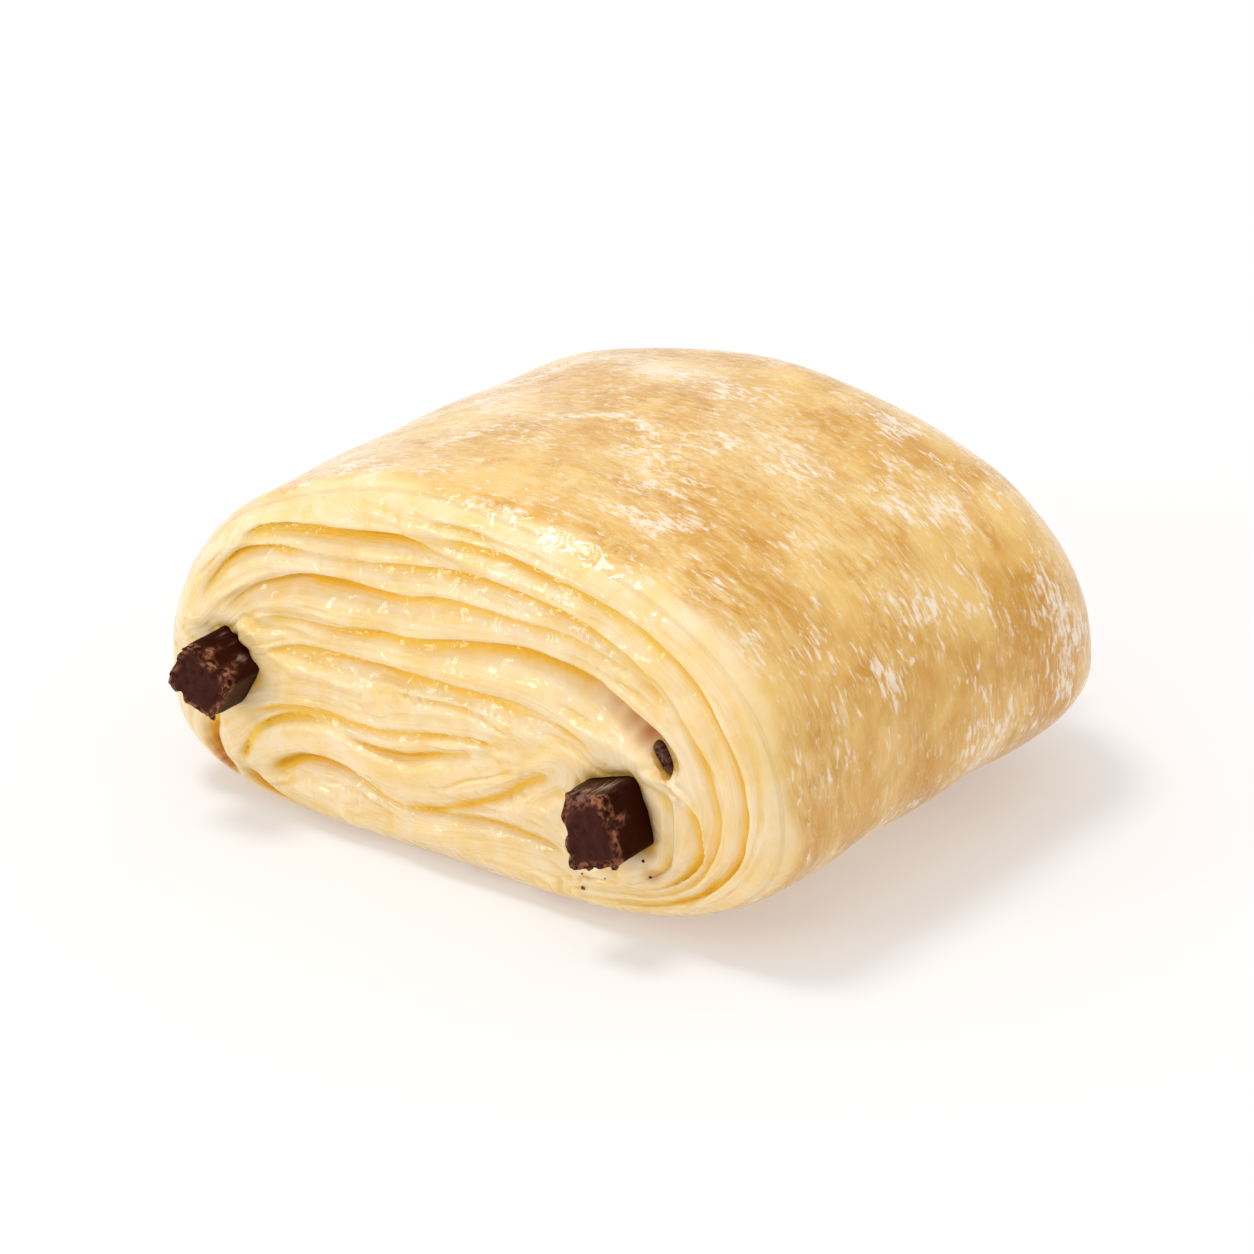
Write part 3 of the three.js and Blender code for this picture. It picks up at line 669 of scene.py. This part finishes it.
def make_stick(name, stick, seed, chips, blooms_and_sheen, material):
    """A bar of chocolate with smooth sides and two ends that broke unevenly."""
    bm = divided_cube(STICK_CELLS)
    cube = positions_of(bm)
    half_length = STICK_HALF_LENGTH
    across, up = stick_section(cube, stick, STICK_CORNER_POWER)
    y = np.sin(cube[:, 1] * math.pi / 2) * half_length
    edge = np.maximum(np.abs(cube[:, 0]), np.abs(cube[:, 2]))
    broken = smooth_step(np.abs(y), half_length - 0.45, half_length - 0.1)
    front = np.sign(y)
    chipped = spots(chips, across, up) * (y < 0)
    rough = sum(
        height * noise(across * bumps, up * bumps, front, seed=seed + step) for height, bumps, step in BREAKS)
    crumbled = smooth_step(edge, 0.62, 1.0) * smooth_step(
        noise(across * 0.45, up * 0.45, seed=seed + 6), -0.3, 0.6)
    near_end = smooth_step(np.abs(y), half_length - 4, half_length)
    break_depth = BREAK_DEPTH + rough + EDGE_BREAK * crumbled + CHIP_BREAK * chipped
    y = y - front * near_end * np.clip(break_depth, 0, DEEPEST_BREAK)
    wear = 1 - WEAR * near_end * np.clip(noise(across * 1.1, up * 1.1, y * 0.9, seed=seed + 8), -0.7, 1)
    across = across * wear + SIDE_BUMP * noise(y * 0.3, up * 0.4, seed=seed + 10)
    up = up * wear + SIDE_BUMP * noise(y * 0.3, across * 0.4, seed=seed + 12)
    # The broken rim and the chips turn coppery: crumbled chocolate and a painted glint on the edges. The grey
    # film on the top is bloom and a painted sheen of the light above.
    rim = smooth_step(np.abs(y), half_length - 2.0, half_length - 0.9) * smooth_step(edge, 0.75, 0.95)
    on_top = smooth_step(2 * up / stick["height"], 0.7, 0.9)
    traits = dict(
        broken=np.maximum(broken, smooth_step(chipped, 0.1, 0.5) * near_end),
        rim=np.maximum(rim, 1.3 * chipped * near_end),
        bloom_and_sheen=spots(blooms_and_sheen, across, y) * on_top,
        run=np.stack([across, y, up], axis=1),
    )
    mesh = finish_mesh(name, bm, turned(stick, across, y, up), traits, CHOCOLATE_SHARP_ANGLE)
    return new_piece(name, mesh, material)


def make_fragment(material):
    """The broken piece, thinner where its tongue stands in the slit."""
    bm = divided_cube(FRAGMENT_CELLS)
    cube = positions_of(bm)
    across, up = stick_section(cube, FRAGMENT, FRAGMENT_CORNER_POWER)
    y = blend(FRAGMENT_FRONT, FRAGMENT_BACK, (cube[:, 1] + 1) / 2)
    rough = noise(across * 0.9, up * 0.9, y * 0.9, seed=21.0)
    tongue = 1 - smooth_step(y, FRAGMENT_NECK + 0.2, FRAGMENT_NECK + 1.0)
    uneven = 0.93 + 0.06 * rough
    across = across * uneven * blend(1, TONGUE_WIDTH, tongue)
    up = up * uneven * blend(1, TONGUE_HEIGHT, tongue)
    y = y - 0.15 * cube[:, 1] * (1 + noise(across, up, seed=23.0))
    # Its coppery colour and grey film are partly crumbled chocolate and bloom, partly a painted glint and
    # sheen.
    ones = np.ones(len(y))
    traits = dict(broken=0.8 * ones, rim=0.3 * ones, bloom_and_sheen=0.4 * ones, run=np.stack([across, y, up], axis=1))
    points = turned(FRAGMENT, across, y, up)
    mesh = finish_mesh("wedged_fragment", bm, points, traits, CHOCOLATE_SHARP_ANGLE)
    return new_piece("wedged_fragment", mesh, material)


def make_crumbs(dough, material):
    """Small uneven crumbs of chocolate, on the dough's shown end and on the sticks' broken edges."""
    tree = BVHTree.FromObject(dough, bpy.context.evaluated_depsgraph_get())
    middles = []
    for x, z, radius in LYING_CRUMBS:
        hit = tree.ray_cast(Vector((x, -2 * STICK_HALF_LENGTH, z)) * MM, Vector((0, 1, 0)))[0]
        middles.append((np.array(hit) / MM, radius))
    for stick, across, y, up, radius in HANGING_CRUMBS:
        middles.append((turned(stick, across, y, up)[0], radius))
    bm = bmesh.new()
    points = []
    for middle, radius in middles:
        crumb = bmesh.ops.create_icosphere(bm, subdivisions=3, radius=1.0)["verts"]
        shape = np.array([vert.co[:] for vert in crumb])
        uneven = 1 + 0.35 * noise(*(shape * 1.7 + middle).T, seed=71.0)
        points.append(middle + shape * uneven[:, None] * radius)
    points = np.vstack(points)
    # The crumbs are coppery: crumbled chocolate with a painted glint.
    ones = np.ones(len(points))
    traits = dict(broken=ones, rim=0.8 * ones, bloom_and_sheen=0 * ones, run=points)
    mesh = finish_mesh("chocolate_crumbs", bm, points, traits, CHOCOLATE_SHARP_ANGLE)
    return new_piece("chocolate_crumbs", mesh, material)


# ---------------------------------------------------------------- materials

def colour(hex_value):
    """The linear colour of an sRGB hex value."""
    parts = [int(hex_value[i:i + 2], 16) / 255 for i in (1, 3, 5)]
    return (*(p / 12.92 if p <= 0.04045 else ((p + 0.055) / 1.055) ** 2.4 for p in parts), 1.0)


def add(tree, kind, inputs=None, **settings):
    """Adds a node with its settings. Each input is a value, or the socket that it is linked from."""
    node = tree.nodes.new(kind)
    for key, value in settings.items():
        setattr(node, key, value)
    for key, value in (inputs or {}).items():
        if isinstance(value, bpy.types.NodeSocket):
            tree.links.new(value, node.inputs[key])
        else:
            node.inputs[key].default_value = value
    return node


def new_material(name):
    """A material with only its output, and its node tree."""
    material = bpy.data.materials.new(name)
    material.use_nodes = True
    material.node_tree.nodes.clear()
    return material, material.node_tree


# The Mix node's sockets go by number: its factor, the two colours and their mix, and the two numbers.
FACTOR = 0
A, B, MIXED = 6, 7, 2
LOW, HIGH = 2, 3


def per_mm(size):
    """The scale of a texture on coordinates in millimetres whose pattern is so many millimetres wide."""
    return 1 / size


def raw_dough():
    """Raw butter dough, laminated and rolled by hand: golden where the surface has dried, dusted with flour
    and streaked with butter, and pale, moist and translucent where the cut layers show. A paler top of the
    skin is painted light; the deeper yellow in the folds and round the sticks, and part of the brown round
    the sticks and at the deep end of the cave, is painted shade."""
    material, tree = new_material("raw_butter_dough_laminated")
    end = add(tree, "ShaderNodeAttribute", attribute_name="end").outputs["Fac"]
    hollow_shade = add(tree, "ShaderNodeAttribute", attribute_name="hollow_shade").outputs["Fac"]
    smear_and_shade = add(tree, "ShaderNodeAttribute", attribute_name="smear_and_shade").outputs["Fac"]
    grain = add(tree, "ShaderNodeAttribute", attribute_name="grain").outputs["Vector"]
    place = add(tree, "ShaderNodeTexCoord").outputs["Object"]

    # The skin: patches of dried golden dough, and pale flecks of butter and flour that run round the roll.
    # There are more of them towards its top, which is painted light: it makes the top paler.
    patches = add(tree, "ShaderNodeTexNoise", {
        "Vector": place, "Scale": per_mm(9) / MM, "Detail": 3.0, "Roughness": 0.55, "Distortion": 0.4})
    patch_share = add(tree, "ShaderNodeMapRange", {
        "Value": patches.outputs["Fac"], "From Min": 0.41, "From Max": 0.66})
    golden = add(tree, "ShaderNodeMix", {
        FACTOR: patch_share.outputs[0], A: colour("#D0941C"), B: colour("#EBC06C")}, data_type="RGBA")
    fleck_run = add(tree, "ShaderNodeMapping", {"Vector": grain, "Scale": (0.0, per_mm(2.6), per_mm(1.0))})
    flecks = add(tree, "ShaderNodeTexNoise", {
        "Vector": fleck_run.outputs[0], "Scale": 1.0, "Detail": 5.0, "Roughness": 0.72, "Distortion": 0.9})
    bare = add(tree, "ShaderNodeTexNoise", {
        "Vector": place, "Scale": per_mm(14) / MM, "Detail": 2.0, "Roughness": 0.5})
    fleck_height = add(tree, "ShaderNodeMix", {
        FACTOR: 0.4, LOW: flecks.outputs["Fac"], HIGH: bare.outputs["Fac"]}, data_type="FLOAT")
    height = add(tree, "ShaderNodeSeparateXYZ", {"Vector": place}).outputs["Z"]
    # Denser flecks towards the top make it paler: painted light from above.
    on_top = add(tree, "ShaderNodeMapRange", {
        "Value": height, "From Min": 8 * MM, "From Max": 36 * MM, "To Min": -0.03, "To Max": 0.04})
    flecks_and_top_light = add(tree, "ShaderNodeMath", {
        0: fleck_height.outputs[0], 1: on_top.outputs[0]}, operation="ADD")
    fleck_share = add(tree, "ShaderNodeMapRange", {
        "Value": flecks_and_top_light.outputs[0], "From Min": 0.48, "From Max": 0.65, "To Max": 0.85})
    flecked = add(tree, "ShaderNodeMix", {
        FACTOR: fleck_share.outputs[0], A: golden.outputs[MIXED], B: colour("#F0D08E")}, data_type="RGBA")
    clouds = add(tree, "ShaderNodeTexNoise", {
        "Vector": place, "Scale": per_mm(7) / MM, "Detail": 3.0, "Distortion": 0.5})
    cloud_share = add(tree, "ShaderNodeMapRange", {
        "Value": clouds.outputs["Fac"], "From Min": 0.45, "From Max": 0.68, "To Max": 0.2})
    dust_run = add(tree, "ShaderNodeMapping", {"Vector": grain, "Scale": (0.0, per_mm(1.3), per_mm(0.6))})
    dust = add(tree, "ShaderNodeTexNoise", {
        "Vector": dust_run.outputs[0], "Scale": 1.0, "Detail": 3.0, "Roughness": 0.6, "Distortion": 0.6})
    dust_height = add(tree, "ShaderNodeMath", {
        0: dust.outputs["Fac"], 1: cloud_share.outputs[0]}, operation="ADD")
    flour = add(tree, "ShaderNodeMapRange", {
        "Value": dust_height.outputs[0], "From Min": 0.6, "From Max": 0.76, "To Max": 0.85})
    skin = add(tree, "ShaderNodeMix", {
        FACTOR: flour.outputs[0], A: flecked.outputs[MIXED], B: colour("#F6E7D4")}, data_type="RGBA")

    # The ends: pale layers with faint lines along them, with painted shade of deeper yellow in the folds and
    # round the sticks.
    layer_run = add(tree, "ShaderNodeMapping", {"Vector": grain, "Scale": (2.2, per_mm(9), per_mm(9))})
    lines = add(tree, "ShaderNodeTexNoise", {
        "Vector": layer_run.outputs[0], "Scale": 1.0, "Detail": 4.0, "Roughness": 0.6})
    mottling = add(tree, "ShaderNodeTexNoise", {
        "Vector": place, "Scale": per_mm(4) / MM, "Detail": 3.0, "Roughness": 0.6, "Distortion": 0.5})
    paleness = add(tree, "ShaderNodeMix", {
        FACTOR: 0.45, LOW: mottling.outputs["Fac"], HIGH: lines.outputs["Fac"]}, data_type="FLOAT")
    pale_share = add(tree, "ShaderNodeMapRange", {
        "Value": paleness.outputs[0], "From Min": 0.4, "From Max": 0.6})
    cream = add(tree, "ShaderNodeMix", {
        FACTOR: pale_share.outputs[0], A: colour("#F0CE88"), B: colour("#F4DDB4")}, data_type="RGBA")
    shaded_deep_yellow = add(tree, "ShaderNodeMix", {
        FACTOR: hollow_shade, A: cream.outputs[MIXED], B: colour("#F6C63A")}, data_type="RGBA")
    both = add(tree, "ShaderNodeMix", {
        FACTOR: end, A: skin.outputs[MIXED], B: shaded_deep_yellow.outputs[MIXED]}, data_type="RGBA")
    # Brown marks: chocolate rubbed off, and painted shade at the deep end of the cave and round the sticks.
    stained_and_shaded = add(tree, "ShaderNodeMix", {
        FACTOR: smear_and_shade, A: both.outputs[MIXED], B: colour("#B5642C")}, data_type="RGBA")

    # Relief too fine for the mesh: the lines of the layers and the flecks of the skin, and the slow
    # unevenness of the wet film over them, which gives it small highlights.
    relief = add(tree, "ShaderNodeMix", {
        FACTOR: end, LOW: flecks.outputs["Fac"], HIGH: lines.outputs["Fac"]}, data_type="FLOAT")
    bump = add(tree, "ShaderNodeBump", {"Height": relief.outputs[0], "Strength": 0.5, "Distance": 0.35 * MM})
    wet = add(tree, "ShaderNodeTexNoise", {
        "Vector": place, "Scale": per_mm(1.8) / MM, "Detail": 1.0, "Roughness": 0.45, "Distortion": 0.8})
    wet_bump = add(tree, "ShaderNodeBump", {
        "Height": wet.outputs["Fac"], "Strength": 1.0, "Distance": 0.35 * MM})
    gloss = add(tree, "ShaderNodeMix", {FACTOR: flour.outputs[0], LOW: 0.36, HIGH: 0.6}, data_type="FLOAT")
    roughness = add(tree, "ShaderNodeMix", {
        FACTOR: end, LOW: gloss.outputs[0], HIGH: 0.34}, data_type="FLOAT")
    shader = add(tree, "ShaderNodeBsdfPrincipled", {
        "Base Color": stained_and_shaded.outputs[MIXED], "Roughness": roughness.outputs[0], "IOR": 1.4,
        "Specular IOR Level": 0.25, "Coat Weight": 0.7, "Coat Roughness": 0.12,
        "Subsurface Weight": 0.5, "Subsurface Radius": (1.0, 0.85, 0.45), "Subsurface Scale": 0.6 * MM,
        "Normal": bump.outputs[0], "Coat Normal": wet_bump.outputs[0]})
    add(tree, "ShaderNodeOutputMaterial", {"Surface": shader.outputs[0]})
    return material


def dark_chocolate():
    """Dark baking chocolate, moulded in sticks and snapped: satin and almost black on the moulded sides,
    dull and purple-brown where it broke, with coppery crumbs along the broken edges. The coppery colour is
    also a painted glint on the edges, and a grey film on the tops is bloom and a painted sheen of the light
    above."""
    material, tree = new_material("dark_chocolate_moulded")
    broken = add(tree, "ShaderNodeAttribute", attribute_name="broken").outputs["Fac"]
    rim = add(tree, "ShaderNodeAttribute", attribute_name="rim").outputs["Fac"]
    run = add(tree, "ShaderNodeAttribute", attribute_name="run").outputs["Vector"]
    grit = add(tree, "ShaderNodeTexNoise", {
        "Vector": run, "Scale": per_mm(0.45), "Detail": 4.0, "Roughness": 0.7})
    crumbs = add(tree, "ShaderNodeTexNoise", {
        "Vector": run, "Scale": per_mm(0.7), "Detail": 3.0, "Roughness": 0.6})
    crumb_share = add(tree, "ShaderNodeMapRange", {
        "Value": crumbs.outputs["Fac"], "From Min": 0.45, "From Max": 0.62})
    # Coppery specks along the broken rims: crumbled chocolate and a painted glint on the edges.
    crumb_rim_and_glint = add(tree, "ShaderNodeMath", {0: crumb_share.outputs[0], 1: rim}, operation="MULTIPLY")
    # A streaky grey film on the sticks' tops: bloom and a painted sheen of the light above.
    bloom_and_sheen = add(tree, "ShaderNodeAttribute", attribute_name="bloom_and_sheen").outputs["Fac"]
    streak_run = add(tree, "ShaderNodeMapping", {
        "Vector": run, "Scale": (per_mm(0.35), per_mm(2.5), per_mm(0.35))})
    streaks = add(tree, "ShaderNodeTexNoise", {
        "Vector": streak_run.outputs[0], "Scale": 1.0, "Detail": 3.0, "Roughness": 0.6})
    streak_share = add(tree, "ShaderNodeMapRange", {
        "Value": streaks.outputs["Fac"], "From Min": 0.46, "From Max": 0.6})
    grey_film_and_sheen = add(tree, "ShaderNodeMath", {0: streak_share.outputs[0], 1: bloom_and_sheen}, operation="MULTIPLY")
    moulded = add(tree, "ShaderNodeMix", {
        FACTOR: grit.outputs["Fac"], A: colour("#240802"), B: colour("#340E05")}, data_type="RGBA")
    snapped = add(tree, "ShaderNodeMix", {
        FACTOR: grit.outputs["Fac"], A: colour("#341611"), B: colour("#502A22")}, data_type="RGBA")
    body = add(tree, "ShaderNodeMix", {
        FACTOR: broken, A: moulded.outputs[MIXED], B: snapped.outputs[MIXED]}, data_type="RGBA")
    coppery_and_glint = add(tree, "ShaderNodeMix", {
        FACTOR: grit.outputs["Fac"], A: colour("#7A3B22"), B: colour("#B5805F")}, data_type="RGBA")
    crumbly_and_glinting = add(tree, "ShaderNodeMix", {
        FACTOR: crumb_rim_and_glint.outputs[0], A: body.outputs[MIXED], B: coppery_and_glint.outputs[MIXED]}, data_type="RGBA")
    filmed_and_sheened = add(tree, "ShaderNodeMix", {
        FACTOR: grey_film_and_sheen.outputs[0], A: crumbly_and_glinting.outputs[MIXED], B: colour("#8C7468")}, data_type="RGBA")
    roughness = add(tree, "ShaderNodeMix", {FACTOR: broken, LOW: 0.36, HIGH: 0.62}, data_type="FLOAT")
    depth = add(tree, "ShaderNodeMix", {FACTOR: broken, LOW: 0.08, HIGH: 0.7}, data_type="FLOAT")
    bump = add(tree, "ShaderNodeBump", {
        "Height": grit.outputs["Fac"], "Strength": depth.outputs[0], "Distance": 0.25 * MM})
    shader = add(tree, "ShaderNodeBsdfPrincipled", {
        "Base Color": filmed_and_sheened.outputs[MIXED], "Roughness": roughness.outputs[0], "IOR": 1.5,
        "Specular IOR Level": 0.04, "Normal": bump.outputs[0]})
    add(tree, "ShaderNodeOutputMaterial", {"Surface": shader.outputs[0]})
    return material


def opal_acrylic():
    """Opal acrylic, sanded matt and lit from below: it is nearly white, and the shadows on it stay pale."""
    material, tree = new_material("opal_acrylic_sanded")
    shader = add(tree, "ShaderNodeBsdfPrincipled", {
        "Base Color": colour("#C0C1C3"), "Roughness": 0.9, "Specular IOR Level": 0.0,
        "Emission Color": colour("#FFF6F0"), "Emission Strength": 0.38})
    add(tree, "ShaderNodeOutputMaterial", {"Surface": shader.outputs[0]})
    return material


# ---------------------------------------------------------------- the object

DOUGH = raw_dough()
CHOCOLATE = dark_chocolate()

dough = make_dough(DOUGH)
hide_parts("dough")

right_stick = make_stick("right_stick", RIGHT_STICK, 31.0, RIGHT_CHIPS, RIGHT_BLOOMS_AND_SHEEN, CHOCOLATE)
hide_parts("chocolate_stick_right")

left_stick = make_stick("left_stick", LEFT_STICK, 57.0, LEFT_CHIPS, LEFT_BLOOMS_AND_SHEEN, CHOCOLATE)
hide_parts("chocolate_stick_left")

fragment = make_fragment(CHOCOLATE)
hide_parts("chocolate_fragment")

crumbs = make_crumbs(dough, CHOCOLATE)

for piece in (dough, right_stick, left_stick, fragment, crumbs):
    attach(piece, "root")


# ---------------------------------------------------------------- floor, light and camera

# The floor in metres, and how far it lies below the part in millimetres.
FLOOR_HALF_WIDTH = 3.0
FLOOR_DROP = 0.05

# Where the photograph was taken from: the angles in degrees, the lens and the width of its sensor in
# millimetres, and the distance from the point that it looks at, which is given in the roll's own frame.
CAMERA_AZIMUTH = 36.5
CAMERA_ELEVATION = 25
CAMERA_DISTANCE = 582
CAMERA_TARGET = (-2.187, -0.989, 14.823)
LENS = 176.07
SENSOR = 36

# What the lights look at, in millimetres.
LIGHT_TARGET = (0, 0, 15)


def make_floor():
    bm = bmesh.new()
    bmesh.ops.create_grid(bm, x_segments=1, y_segments=1, size=FLOOR_HALF_WIDTH)
    bmesh.ops.translate(bm, verts=bm.verts, vec=(0, 0, -FLOOR_DROP * MM))
    mesh = bpy.data.meshes.new("floor")
    bm.to_mesh(mesh)
    bm.free()
    return new_piece("floor", mesh, opal_acrylic())


def aimed(thing, place, target):
    thing.location = place
    thing.rotation_mode = "QUATERNION"
    thing.rotation_quaternion = (Vector(target) - Vector(place)).to_track_quat("-Z", "Y")
    bpy.context.scene.collection.objects.link(thing)
    return thing


def soft_light(name, place, size, power):
    light = bpy.data.lights.new(name, "AREA")
    light.shape = "DISK"
    light.size = size
    light.energy = power
    return aimed(bpy.data.objects.new(name, light), place, Vector(LIGHT_TARGET) * MM)


def make_camera():
    """A long lens at the height and side that the photograph was taken from."""
    azimuth, elevation = math.radians(CAMERA_AZIMUTH), math.radians(CAMERA_ELEVATION)
    target = (Vector(CAMERA_TARGET) + Vector((SHIFT_X, 0, 0))) * MM
    level = math.cos(elevation)
    towards = Vector((math.sin(azimuth) * level, -math.cos(azimuth) * level, math.sin(elevation)))
    data = bpy.data.cameras.new("camera")
    data.sensor_width = SENSOR
    data.lens = LENS
    data.clip_start = 0.01
    return aimed(bpy.data.objects.new("camera", data), target + towards * CAMERA_DISTANCE * MM, target)


make_floor()
bpy.context.scene.camera = make_camera()
soft_light("key", (-0.5, -0.18, 1.7), 0.55, 11.8)
soft_light("glint", (-0.65, -1.2, 0.5), 0.38, 3.2)
world = bpy.data.worlds.new("studio")
world.use_nodes = True
world.node_tree.nodes["Background"].inputs["Color"].default_value = (1, 1, 1, 1)
world.node_tree.nodes["Background"].inputs["Strength"].default_value = 0.86
bpy.context.scene.world = world
bpy.context.scene.view_settings.view_transform = "Standard"
